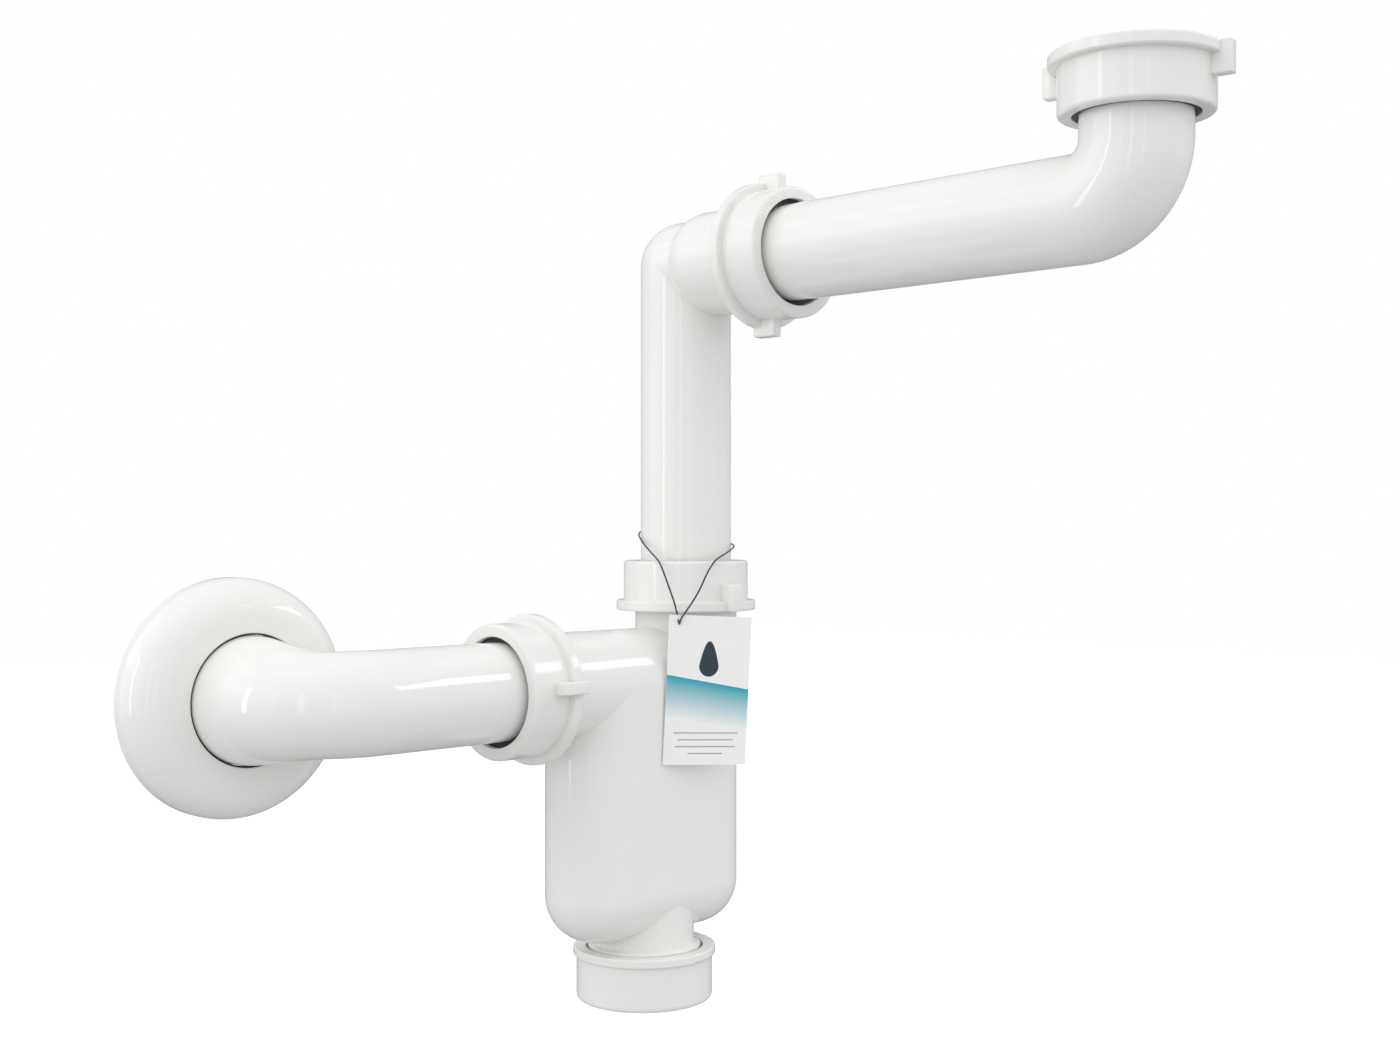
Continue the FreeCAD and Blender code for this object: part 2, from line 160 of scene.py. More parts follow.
def bentPath(look):
    # Straight, quarter arc about a centre inside the corner, straight. Distance along it is measured from the start.
    start, corner, end = (np.array(look[p], float) for p in ("start", "corner", "end"))
    radius = look["bend"]
    inDir, outDir = unit(corner - start), unit(end - corner)
    runIn = np.linalg.norm(corner - start) - radius
    arcLength = radius * math.pi / 2
    centre = corner - inDir * radius + outDir * radius
    across = np.cross(inDir, outDir)

    def path(s):
        s = np.asarray(s, float)
        turn = np.clip((s - runIn) / radius, 0, math.pi / 2)[:, None]
        before = np.minimum(s - runIn, 0)[:, None]
        after = np.maximum(s - runIn - arcLength, 0)[:, None]
        point = centre - outDir * radius * np.cos(turn) + inDir * radius * np.sin(turn)
        point = point + inDir * before + outDir * after
        inward = outDir * np.cos(turn) - inDir * np.sin(turn)
        return point, inward, np.broadcast_to(across, point.shape)
    return path, runIn, runIn + arcLength


def carried(profile, path, around=128, ridge=None):
    # Profile (height, radius) carried along a path: point = path(height) + radius (cos a * side + sin a * across).
    # A ridge adds a height-and-angle pattern, such as a thread, to the radius.
    angle = np.linspace(0, 2 * math.pi, around, endpoint=False)
    height, radius = profile[:, :1] + 0 * angle, profile[:, 1:] + 0 * angle
    if ridge is not None:
        radius = radius + ridge(height, angle[None], radius)
    centre, side, across = path(profile[:, 0])
    ring = np.cos(angle)[None, :, None] * side[:, None] + np.sin(angle)[None, :, None] * across[:, None]
    points = centre[:, None] + radius[:, :, None] * ring
    return points.reshape(-1, 3), gridQuads(len(profile), around, True, True)


def placeMatrix(axis, turn=0.0):
    # Columns are the ring's two directions and the axis, turned about the axis by an angle.
    along, side = unit(axis["along"]), unit(axis["side"])
    across = np.cross(along, side)
    a = math.radians(turn)
    return np.stack([side * math.cos(a) + across * math.sin(a), across * math.cos(a) - side * math.sin(a), along], 1)


def roundedBar(low, high, rounding, steps=4):
    # Block with every edge rounded: an outline of four quarter arcs, drawn in by r (1 - sin) where the ends curve over.
    low, high = np.array(low, float), np.array(high, float)
    quarter = np.linspace(0, math.pi / 2, steps + 1)
    angles = (np.arange(4)[:, None] * math.pi / 2 + quarter).ravel()
    corner = np.repeat(np.array([[1, 1], [-1, 1], [-1, -1], [1, -1]]), steps + 1, 0)
    inner = (high[:2] - low[:2]) / 2 - rounding
    middle = (high[:2] + low[:2]) / 2
    closing, opening = rounding * (1 - np.cos(quarter)), rounding * (1 - np.sin(quarter))
    drawn = np.concatenate([[rounding], opening, closing, [rounding]])
    level = np.concatenate([[low[2]], low[2] + closing, high[2] - opening, [high[2]]])
    share = np.ones(len(level))
    share[[0, -1]] = 0  # the first and last rows close on the middle
    reach = (rounding - drawn)[:, None, None] * np.stack([np.cos(angles), np.sin(angles)], 1)
    flat = middle + share[:, None, None] * (corner * inner + reach)
    points = np.concatenate([flat, np.broadcast_to(level[:, None, None], flat.shape[:2] + (1,))], 2)
    return points.reshape(-1, 3), gridQuads(len(level), len(angles), False, True)


# Finishes. Base colours are sRGB hex, turned to linear here.
def linear(hexText):
    # Below 0.04045 divided by 12.92, above it ((v + 0.055) / 1.055) to the power 2.4.
    v = np.array([int(hexText[i:i + 2], 16) for i in (1, 3, 5)]) / 255
    return (*np.where(v <= 0.04045, v / 12.92, ((v + 0.055) / 1.055) ** 2.4).tolist(), 1.0)


def addNode(tree, kind, inputs=None, **settings):
    # Adds a node, sets its properties, and gives each named input a value or a link.
    node = tree.nodes.new(kind)
    for name, value in settings.items():
        setattr(node, name, value)
    for name, value in (inputs or {}).items():
        socket = node.inputs[name]
        if isinstance(value, bpy.types.NodeSocket):
            tree.links.new(value, socket)
        else:
            socket.default_value = value
    return node


def newMaterial(name):
    # Empty material with its own node tree.
    material = bpy.data.materials.new(name)
    material.use_nodes = True
    material.node_tree.nodes.clear()
    return material, material.node_tree


def mouldedWhite(name, look):
    # Injection-moulded polypropylene: a smooth tool face, broad shallow sink waves and a very fine grain, so
    # highlights are soft edged and bend a little. A hair-thin parting line runs where the two mould halves met.
    material, tree = newMaterial(name)
    rough, spread = look["roughness"], look["roughSpread"]
    place = addNode(tree, "ShaderNodeTexCoord").outputs["Object"]
    waves = addNode(tree, "ShaderNodeTexNoise", {"Vector": place, "Scale": look["waveScale"], "Detail": 1.0})
    grain = addNode(tree, "ShaderNodeTexNoise", {"Vector": place, "Scale": look["grainScale"], "Detail": 2.0})
    tone = addNode(tree, "ShaderNodeMix", {
        0: waves.outputs["Fac"], 6: linear(look["shade"]), 7: linear(look["tint"])}, data_type="RGBA")
    gloss = addNode(tree, "ShaderNodeMapRange", {
        0: grain.outputs["Fac"], 1: look["grainLow"], 2: look["grainHigh"], 3: rough - spread, 4: rough + spread})
    broad = addNode(tree, "ShaderNodeBump", {
        "Height": waves.outputs["Fac"], "Strength": 1.0, "Distance": look["waveDepth"]})
    fine = addNode(tree, "ShaderNodeBump", {
        "Height": grain.outputs["Fac"], "Strength": 1.0, "Distance": look["grainDepth"],
        "Normal": broad.outputs["Normal"]})
    normal = fine.outputs["Normal"]
    if look.get("parting"):
        axis, at = look["parting"]
        parts = addNode(tree, "ShaderNodeSeparateXYZ", {0: place})
        off = addNode(tree, "ShaderNodeMath", {0: parts.outputs[axis], 1: at}, operation="SUBTRACT")
        away = addNode(tree, "ShaderNodeMath", {0: off.outputs[0]}, operation="ABSOLUTE")
        line = addNode(tree, "ShaderNodeMapRange", {
            0: away.outputs[0], 1: look["seamHalf"], 2: look["seamFoot"], 3: 1.0, 4: 0.0},
            interpolation_type="SMOOTHSTEP")
        seam = addNode(tree, "ShaderNodeBump", {
            "Height": line.outputs[0], "Strength": 1.0, "Distance": look["seamHeight"], "Normal": normal})
        normal = seam.outputs["Normal"]
    skin = addNode(tree, "ShaderNodeBsdfPrincipled", {
        "Base Color": tone.outputs[2], "Roughness": gloss.outputs[0], "IOR": look["ior"], "Normal": normal})
    addNode(tree, "ShaderNodeOutputMaterial", {"Surface": skin.outputs[0]})
    return material


# A scale is one over the pattern's width in metres: the pipes' waves are 26 mm long and their grain is 1.1 mm wide, and
# the nuts' are 17 mm and 0.7 mm. Real grain is finer, and is drawn this coarse to show.
mouldLook = {
    "roughSpread": 0.02, "grainLow": 0.3, "grainHigh": 0.7, "ior": 1.49,
    "seamHalf": 0.00005, "seamFoot": 0.0003, "seamHeight": 0.00005,
}
pipeLook = {
    **mouldLook, "tint": "#f1f1ef", "shade": "#eeeeec", "roughness": 0.055,
    "waveScale": 38.0, "waveDepth": 0.00007, "grainScale": 900.0, "grainDepth": 0.000002,
}
satinLook = {
    **mouldLook, "tint": "#f0f0ee", "shade": "#ececea", "roughness": 0.12,
    "waveScale": 60.0, "waveDepth": 0.0001, "grainScale": 1400.0, "grainDepth": 0.000002,
}
armWhite = mouldedWhite("mouldedPolypropyleneArm", {**pipeLook, "parting": ("X", 0.0)})
riserWhite = mouldedWhite("mouldedPolypropyleneRiser", {**pipeLook, "parting": ("X", 0.0)})
bodyWhite = mouldedWhite("mouldedPolypropyleneBody", {**pipeLook, "roughness": 0.10, "parting": ("Y", 0.226)})
wallWhite = mouldedWhite("mouldedPolypropyleneWallPipe", pipeLook)
rosetteWhite = mouldedWhite("mouldedPolypropyleneRosette", pipeLook)
cupWhite = mouldedWhite("mouldedPolypropyleneCup", satinLook)
nutWhite = mouldedWhite("satinPolypropyleneNut", satinLook)


def mattBlack(name, look):
    # EPDM rubber, compression moulded, or polyethylene: near black and matt, greyed by a fine powdery grain.
    material, tree = newMaterial(name)
    place = addNode(tree, "ShaderNodeTexCoord").outputs["Object"]
    grain = addNode(tree, "ShaderNodeTexNoise", {"Vector": place, "Scale": look["grainScale"], "Detail": 3.0})
    tone = addNode(tree, "ShaderNodeMix", {
        0: grain.outputs["Fac"], 6: linear(look["shade"]), 7: linear(look["tint"])}, data_type="RGBA")
    bump = addNode(tree, "ShaderNodeBump", {"Height": grain.outputs["Fac"], "Distance": look["grainDepth"]})
    skin = addNode(tree, "ShaderNodeBsdfPrincipled", {
        "Base Color": tone.outputs[2], "Roughness": look["roughness"], "IOR": look["ior"],
        "Normal": bump.outputs["Normal"]})
    addNode(tree, "ShaderNodeOutputMaterial", {"Surface": skin.outputs[0]})
    return material


# Grain of 1.4 mm for the rubber and 2 mm for the rings, many times the real powder's, so that it shows at all.
rubberLook = {
    "tint": "#26272a", "shade": "#17181a", "roughness": 0.6, "ior": 1.52, "grainScale": 700.0, "grainDepth": 0.00002,
}
# The rings' near black also serves as painted shade: in the gap at the sink nut's mouth and behind the rosette's lip,
# where there is shadow.
ringLook = {
    "tint": "#222326", "shade": "#1a1b1d", "roughness": 0.42, "ior": 1.52, "grainScale": 500.0, "grainDepth": 0.00001,
}
sealRubber = mattBlack("blackRubberSeal", rubberLook)
ringAndGapShadeBlack = mattBlack("blackRingAndGapShade", ringLook)
print("finishes made")


# The hang tag's string comes first: its route is the source's, in millimetres to the view's right, front and up.
stringLook = {
    "diameter": 0.00075, "length": 0.193, "from": (0.0, 0.226, -0.1814), "smooth": 10, "bevel": 4,
    "points": [
        (1.2, -21.9, 11.0), (9.8, -18.9, 9.6), (16.9, -13.0, 8.1), (21.2, -4.9, 6.9),
        (21.5, 3.4, 6.1), (19.5, 12.0, 4.4), (16.2, 20.6, 2.5), (12.9, 27.4, 0.7),
        (9.4, 32.0, -4.6), (6.8, 34.4, -10.6), (4.2, 36.0, -15.4), (0.9, 38.0, -20.2),
        (-1.4, 40.0, -23.3), (-2.4, 40.2, -26.1), (-2.6, 37.7, -26.1), (-3.2, 37.2, -22.9),
        (-4.3, 36.8, -18.0), (-6.3, 35.8, -12.4), (-8.7, 32.8, -5.8), (-11.1, 27.7, -0.1),
        (-13.4, 22.2, 2.2), (-17.4, 14.2, 6.2), (-20.7, 5.6, 10.4), (-21.0, -4.2, 12.6),
        (-16.9, -12.9, 13.0), (-8.7, -19.5, 12.4), (1.0, -22.0, 11.4),
    ],
}
spin = math.sqrt(0.5)  # sine and cosine of the view's 45 degrees
toRight, toFront, up = (np.array(stringLook["points"]) / 1000).T
route = np.stack([spin * (toRight - toFront), spin * (-toRight - toFront), up], 1) + np.array(stringLook["from"])


def twistedThread(name, look):
    # Two-ply cotton thread, dyed near black: the plies show as slanting bands 1.2 mm apart, twice their real pitch, so
    # that they show.
    material, tree = newMaterial(name)
    place = addNode(tree, "ShaderNodeTexCoord").outputs["Object"]
    lay = addNode(tree, "ShaderNodeMapping", {"Vector": place, "Rotation": look["slant"]})
    plies = addNode(tree, "ShaderNodeTexWave", {
        "Vector": lay.outputs[0], "Scale": look["plyScale"], "Distortion": look["plyWander"], "Detail": 1.0})
    tone = addNode(tree, "ShaderNodeMix", {
        0: plies.outputs["Fac"], 6: linear(look["shade"]), 7: linear(look["tint"])}, data_type="RGBA")
    bump = addNode(tree, "ShaderNodeBump", {"Height": plies.outputs["Fac"], "Distance": look["plyDepth"]})
    skin = addNode(tree, "ShaderNodeBsdfPrincipled", {
        "Base Color": tone.outputs[2], "Roughness": look["roughness"], "Normal": bump.outputs["Normal"],
        "Sheen Weight": look["sheen"]})
    addNode(tree, "ShaderNodeOutputMaterial", {"Surface": skin.outputs[0]})
    return material


cottonLook = {
    "tint": "#4b4f52", "shade": "#2c2f31", "roughness": 0.85, "sheen": 0.2,
    "slant": (0.5, 0.4, 0.6), "plyScale": 260.0, "plyWander": 0.6, "plyDepth": 0.0001,
}
threadDark = twistedThread("twistedCottonThread", cottonLook)
line = bpy.data.curves.new("hangString", "CURVE")
line.dimensions = "3D"
line.resolution_u = stringLook["smooth"]
line.bevel_depth = stringLook["diameter"] / 2
line.bevel_resolution = stringLook["bevel"]
line.use_fill_caps = True
strand = line.splines.new("NURBS")
strand.points.add(len(route) - 1)
strand.points.foreach_set("co", np.column_stack([route, np.ones(len(route))]).ravel())
strand.order_u = 3
strand.use_endpoint_u = True
line.materials.append(threadDark)
hangString = bpy.data.objects.new("hangString", line)
scene.collection.objects.link(hangString)
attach(hangString, "trap_inlet_ring")
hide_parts("tag_string")


def tubeAlong(points, radius, around=10):
    # Rings of one radius about a line of points, each square to the line, with the last ring at each end closed.
    tangent = np.gradient(points, axis=0)
    tangent /= np.linalg.norm(tangent, axis=1)[:, None]
    side = np.cross(tangent, (0.31, 0.17, 0.93))  # a direction that no part of the knot runs along
    side /= np.linalg.norm(side, axis=1)[:, None]
    across = np.cross(tangent, side)
    angle = np.linspace(0, 2 * math.pi, around, endpoint=False)
    size = np.concatenate([[0], np.full(len(points), radius), [0]])
    row = np.concatenate([[0], np.arange(len(points)), [len(points) - 1]])
    ring = np.cos(angle)[None, :, None] * side[row][:, None] + np.sin(angle)[None, :, None] * across[row][:, None]
    return (points[row][:, None] + size[:, None, None] * ring).reshape(-1, 3), gridQuads(len(row), around, False, True)


# Knot where the string's two ends meet: a trefoil, with a short tail from each end.
knotLook = {
    "size": 0.0006, "slim": 1.6, "tail": 0.006, "droop": (0, 0, -0.4),
    "tails": ((0.35, -0.55, -0.25), (0.45, -0.35, 0.05)), "loopPoints": 73, "tailPoints": 12,
}
t = np.linspace(0, 2 * math.pi, knotLook["loopPoints"])
s = np.linspace(0, 1, knotLook["tailPoints"])[:, None]
knotAt = (route[0] + route[-1]) / 2
trefoil = np.stack([np.sin(t) + 2 * np.sin(2 * t), np.cos(t) - 2 * np.cos(2 * t), -np.sin(3 * t)], 1)
knotLines = [knotAt + knotLook["size"] * trefoil / knotLook["slim"]]
for way in knotLook["tails"]:
    knotLines.append(knotAt + knotLook["tail"] * (s * np.array(way) + s ** 2 * np.array(knotLook["droop"])))
knotMesh = joinMesh("stringKnot", [tubeAlong(run, stringLook["diameter"] / 2) for run in knotLines])
stringKnot = finishPiece("stringKnot", knotMesh, "trap_inlet_ring", threadDark, sharp=60)
print("string laid")


# Union nuts, all from one mould. The thread in the sink nut's bore is cut in full.
nutLook = {
    "bore": 0.0239, "relief": 0.0243, "body": 0.0275, "flange": 0.0308, "flangeHeight": 0.0044, "height": 0.0218,
    "lip": 0.0030, "mouth": 0.0223, "chamfer": 0.0004, "fineEdge": 0.0002, "flangeEdge": 0.0008, "footEdge": 0.0004,
    "endEdge": 0.0013, "mouthEdge": 0.0005, "around": 160,
}
lugLook = {"reach": 0.0346, "width": 0.0052, "height": 0.0118, "edge": 0.0007, "seat": 0.0001}
boreThread = {
    "length": 0.0118, "pitch": 0.002309, "ridge": 0.00105, "rows": 110, "from": 0.0011, "fadeIn": 0.0012,
    "fadeOut": 0.0010, "rounding": 0.8,
}
nutSet = {
    "sink": {"body": "sink_nut", "from": 0.0, "lugs": -10.0},
    "riser": {"body": "riser_nut", "from": 0.0448, "lugs": -3.0},
    "trap_inlet": {"body": "trap_inlet_nut", "from": 0.0297, "lugs": -5.0},
    "trap_outlet": {"body": "outlet_nut", "from": 0.0867, "lugs": 5.0},
}


def nutThread(start):
    # Pipe-thread ridges: how far inward depends on height over pitch plus turn, rounded by a raised cosine.
    b = boreThread

    def ridge(height, angle, radius):
        depth = height - start
        phase = 2 * math.pi * depth / b["pitch"] - angle
        rise = np.clip((depth - b["from"]) / b["fadeIn"], 0, 1)
        fall = np.clip((b["length"] - nutLook["chamfer"] - depth) / b["fadeOut"], 0, 1)
        inBore = np.abs(radius - nutLook["bore"]) < sameRadius
        return -b["ridge"] * inBore * (rise * fall) * (0.5 + 0.5 * np.cos(phase)) ** b["rounding"]
    return ridge


def unionNut(name, spec):
    # The nut's outline turned about its axis, and two rounded lugs that start inside its wall. They sit a hair off the
    # open face, so that no two faces lie in one plane.
    n, start = nutLook, spec["from"]
    top, shoulder, threadEnd = start + n["height"], start + n["flangeHeight"], start + boreThread["length"]
    corners = [
        (start, n["bore"] + n["chamfer"], n["fineEdge"]), (start, n["flange"], n["flangeEdge"]),
        (shoulder, n["flange"], n["flangeEdge"]), (shoulder, n["body"], n["footEdge"]),
        (top, n["body"], n["endEdge"]), (top, n["mouth"], n["mouthEdge"]),
        (top - n["lip"], n["mouth"], n["fineEdge"]), (top - n["lip"], n["relief"], n["fineEdge"]),
        (threadEnd + n["chamfer"], n["relief"], 0), (threadEnd, n["bore"], 0), (start + n["chamfer"], n["bore"], 0),
    ]
    profile = roundedProfile(corners)
    ridge = None
    if name == "sink":  # the bore's run gets rows fine enough for the thread
        rows = start + np.linspace(boreThread["length"], n["chamfer"], boreThread["rows"])
        profile = np.concatenate([profile[:-2], np.stack([rows, np.full(len(rows), n["bore"])], 1)])
        ridge = nutThread(start)
    parts = [carried(profile, straightPath(axisSet[name]), around=n["around"], ridge=ridge)]
    low = ((n["bore"] + n["body"]) / 2, -lugLook["width"] / 2, start + lugLook["seat"])
    high = (lugLook["reach"], lugLook["width"] / 2, start + lugLook["height"])
    points, quads = roundedBar(low, high, lugLook["edge"])
    for side in (0, 180):
        matrix = placeMatrix(axisSet[name], spec["lugs"] + side)
        parts.append((points @ matrix.T + np.array(axisSet[name]["at"]), quads))
    node = name + "_union_nut"
    return finishPiece(node + "_moulded", joinMesh(node, parts), spec["body"], nutWhite, [node])


for name, spec in nutSet.items():
    unionNut(name, spec)


# Slip ring of the sink's union. Its black rim fills the gap between the pipe and the lip almost to the nut's mouth. The
# ring is a real part; its rim reaching this far down is painted shade, a dark band where the gap lies in shadow.
sinkRingLook = {
    "inner": 0.0203, "outer": 0.0233, "from": 0.0167, "to": 0.0187, "rim": 0.0219, "rimTo": 0.0214,
    "edge": 0.0003, "rimEdge": 0.0002, "around": 160,
}
k = sinkRingLook
sinkRingProfile = roundedProfile([
    (k["from"], k["inner"], 0), (k["from"], k["outer"], k["edge"]), (k["to"], k["outer"], k["edge"]),
    (k["to"], k["rim"], 0), (k["rimTo"], k["rim"], k["rimEdge"]), (k["rimTo"], k["inner"], 0),
])
sinkRingMesh = joinMesh("sinkSlipRingAndGapShade", [carried(sinkRingProfile, straightPath(axisSet["sink"]), k["around"])])
finishPiece("sinkSlipRingAndGapShade", sinkRingMesh, "inlet_bend", ringAndGapShadeBlack, ["sink_slip_ring"])
print("union nuts made")


# Male threads: low ridges on the sockets and the cleanout neck, seen when a nut or the cup is screwed back.
threadLook = {
    "core": 0.0229, "face": 0.02355, "crest": 0.00030, "pitch": 0.002309, "fade": 0.0012, "rounding": 0.8,
    "rows": 90, "around": 144,
}
threadSet = {
    "riser": {"body": "riser", "from": 0.0468, "to": 0.0578},
    "trap_inlet": {"body": "trap", "from": 0.0317, "to": 0.0427},
    "trap_outlet": {"body": "trap", "from": 0.0887, "to": 0.0997},
    "cup": {"body": "trap", "from": -0.3627, "to": -0.3520, "core": 0.0243, "face": 0.02495},
}


def maleThread(name, spec):
    # Ridges rise by the crest height where height over pitch meets the turn, and fade out at both ends.
    look = {**threadLook, **spec}
    low, high = look["from"], look["to"]
    rows = np.linspace(low, high, look["rows"])
    outer = np.stack([rows, np.full(len(rows), look["face"])], 1)
    inner = np.array([(high, look["core"]), (low, look["core"])])

    def ridge(height, angle, radius):
        phase = 2 * math.pi * height / look["pitch"] - angle
        window = np.clip((height - low) / look["fade"], 0, 1) * np.clip((high - height) / look["fade"], 0, 1)
        wave = (0.5 + 0.5 * np.cos(phase)) ** look["rounding"]
        return (radius > look["face"] - sameRadius) * look["crest"] * window * wave
    sleeve = carried(np.concatenate([outer, inner]), straightPath(axisSet[name]), look["around"], ridge)
    mesh = joinMesh(name + "_thread", [sleeve])
    return finishPiece(name + "_thread", mesh, look["body"], bodyWhite)


for name, spec in threadSet.items():
    maleThread(name, spec)


# Sloping ledge round the cleanout neck, level with the cup's rim.
ledgeLook = {
    "inner": 0.0212, "outer": 0.0242, "from": -0.3530, "to": -0.3469, "slope": 0.0010, "edge": 0.0005, "around": 144,
}
k = ledgeLook
ledgeProfile = roundedProfile([
    (k["from"], k["inner"], 0), (k["from"], k["outer"], 0),
    (k["to"], k["outer"], k["edge"]), (k["to"] + k["slope"], k["inner"], 0),
])
ledgeMesh = joinMesh("neckLedge", [carried(ledgeProfile, straightPath(axisSet["cup"]), k["around"])])
finishPiece("neckLedge", ledgeMesh, "trap", bodyWhite)
print("threads and ledge made")


# Pipes: a wall profile carried along a bent path.
armLook = {
    "start": (0, 0, -0.0146), "corner": (0, 0, -0.0518), "end": (0, 0.1995, -0.0518), "bend": 0.023,
    "outer": 0.0200, "inner": 0.0182, "collar": 0.0234, "collarHeight": 0.0020, "runOut": 0.1765,
    "edge": 0.0004, "fineEdge": 0.0003, "endEdge": 0.0005, "step": 0.0015, "around": 144,
}
k = armLook
armPath, bendFrom, bendTo = bentPath(armLook)
armEnd = bendTo + k["runOut"]
armProfile = roundedProfile([
    (0, k["inner"], k["edge"]), (0, k["collar"], k["fineEdge"]), (k["collarHeight"], k["collar"], k["fineEdge"]),
    (k["collarHeight"], k["outer"], k["edge"]), (armEnd, k["outer"], k["endEdge"]),
    (armEnd, k["inner"], k["fineEdge"]),
], longest=k["step"])
armMesh = joinMesh("inletArm", [carried(armProfile, armPath, k["around"])])
finishPiece("inletArm", armMesh, "inlet_bend", armWhite, ["inlet_bend"])

wallLook = {
    "start": (-0.0837, 0.226, -0.2329), "corner": (-0.1925, 0.226, -0.2329), "end": (-0.1925, 0.3255, -0.2329),
    "bend": 0.028, "outer": 0.0200, "inner": 0.0182, "legOuter": 0.0250, "legInner": 0.0231, "runOut": 0.0715,
    "swellEnd": 0.012, "swellRound": 0.06, "mark": 0.038, "markWidth": 0.001, "markDepth": 0.0003, "markEdge": 0.0001,
    "chamfer": 0.002, "chamferIn": 0.0006, "edge": 0.0005, "fineEdge": 0.0003, "endEdge": 0.0004,
    "step": 0.0015, "around": 144,
}
k = wallLook
wallPath, bendFrom, bendTo = bentPath(wallLook)
wallEnd = bendTo + k["runOut"]
swellFrom, swellTo = (bendFrom + bendTo) / 2, bendTo + k["swellEnd"]  # it swells from the middle of the bend
markTo = wallEnd - k["mark"]  # insertion mark, a shallow groove round the leg
markFrom, markFloor = markTo - k["markWidth"], k["legOuter"] - k["markDepth"]
wallProfile = roundedProfile([
    (0, k["inner"], k["fineEdge"]), (0, k["outer"], k["edge"]), (swellFrom, k["outer"], k["swellRound"]),
    (swellTo, k["legOuter"], k["swellRound"]), (markFrom, k["legOuter"], k["markEdge"]),
    (markFrom, markFloor, k["markEdge"]), (markTo, markFloor, k["markEdge"]), (markTo, k["legOuter"], k["markEdge"]),
    (wallEnd - k["chamfer"], k["legOuter"], k["endEdge"]), (wallEnd, k["legOuter"] - k["chamferIn"], k["fineEdge"]),
    (wallEnd, k["legInner"], k["fineEdge"]), (swellTo, k["legInner"], k["swellRound"]),
    (swellFrom, k["inner"], k["swellRound"]),
], longest=k["step"])
wallMesh = joinMesh("wallBend", [carried(wallProfile, wallPath, k["around"])])
finishPiece("wallBend", wallMesh, "wall_pipe", wallWhite, ["wall_pipe"])

rosetteLook = {
    "lip": 0.0257, "at": 0.0405, "depth": 0.019, "radius": 0.0468, "round": 0.0145, "wall": 0.002,
    "lipEdge": 0.0006, "edge": 0.0004, "arcSteps": 20, "around": 200,
}
k = rosetteLook
face, back, inside = k["at"], k["at"] + k["depth"], k["at"] + k["wall"]
rosetteProfile = roundedProfile([
    (face, k["lip"], k["lipEdge"]), (face, k["radius"], k["round"]), (back, k["radius"], k["edge"]),
    (back, k["radius"] - k["wall"], k["edge"]), (inside, k["radius"] - k["wall"], k["round"] - k["wall"]),
    (inside, k["lip"], k["edge"]),
], steps=k["arcSteps"])
rosetteMesh = joinMesh("wallRosette", [carried(rosetteProfile, straightPath(axisSet["wall"]), k["around"])])
finishPiece("wallRosette", rosetteMesh, "rosette", rosetteWhite, ["wall_rosette"])

# Painted shade: a black ring behind the rosette's lip, drawn as a ring that grips the pipe, stands for the shadow in
# the gap between the lip and the pipe and shows as a dark line there. It reaches a hair into the lip and the wall.
gapShadeRingLook = {
    "inner": 0.02510, "outer": 0.0268, "front": 0.0007, "back": 0.0030, "intoLip": 0.0001, "intoWall": 0.0002,
    "edge": 0.0002,
}
g = gapShadeRingLook
hold, seat = k["lip"] + g["intoLip"], inside - g["intoWall"]
gapShadeRingProfile = roundedProfile([
    (face + g["front"], g["inner"], g["edge"]), (face + g["front"], hold, 0), (seat, hold, 0), (seat, g["outer"], 0),
    (face + g["back"], g["outer"], g["edge"]), (face + g["back"], g["inner"], g["edge"]),
])
gapShadeRingMesh = joinMesh("rosetteGapShadeRing", [carried(gapShadeRingProfile, straightPath(axisSet["wall"]), k["around"])])
finishPiece("rosetteGapShadeRing", gapShadeRingMesh, "rosette", ringAndGapShadeBlack)
print("pipes and rosette made")


# Nodes that keep their CAD mesh get the same finishes.
finishOf = {
    "riser_bend": riserWhite, "trap_body": bodyWhite, "cleanout_cup": cupWhite,
    "sink_flat_seal": sealRubber, "cleanout_seal": sealRubber,
    "riser_cone_seal": sealRubber, "trap_inlet_cone_seal": sealRubber, "trap_outlet_cone_seal": sealRubber,
    "riser_slip_ring": ringAndGapShadeBlack, "trap_inlet_slip_ring": ringAndGapShadeBlack, "trap_outlet_slip_ring": ringAndGapShadeBlack,
}
for node, material in finishOf.items():
    nodes[node].data.materials.clear()
    nodes[node].data.materials.append(material)


# Hang tag: the card keeps its CAD mesh and gets a plain band, a drop and rules. The print's sizes are in millimetres
# from the card's lower left corner.
tagLook = {
    "width": 38.6, "height": 63.2, "holeIn": 4.6, "holeDown": 3.0, "front": (-0.00039, -0.00037),
    "at": (-0.02915, 0.20043, -0.20680), "turn": -20.0, "tilt": 3.0,
    "paper": "#fbfbfb", "fibre": "#f6f6f5", "band": "#22acbf", "drop": "#33444e", "rule": "#a3abb0",
    "bandTop": 38.0, "bandFall": -0.15, "bandEdge": 0.05, "bandFade": (0.5, 18.0),
    "dropAt": 42.0, "dropRise": 10.5, "dropRadius": (4.55, 4.65), "dropTip": (10.4, 10.5),
    "rules": ((13.5, 15.0), (10.6, 13.0), (7.7, 14.0), (4.8, 8.0)), "ruleHalf": (0.22, 0.28), "ruleEnd": 0.1,
    "bareRough": 0.8, "coatRough": 0.42, "ior": 1.5, "fibreScale": 1300.0, "fibreDepth": 0.00001,
}


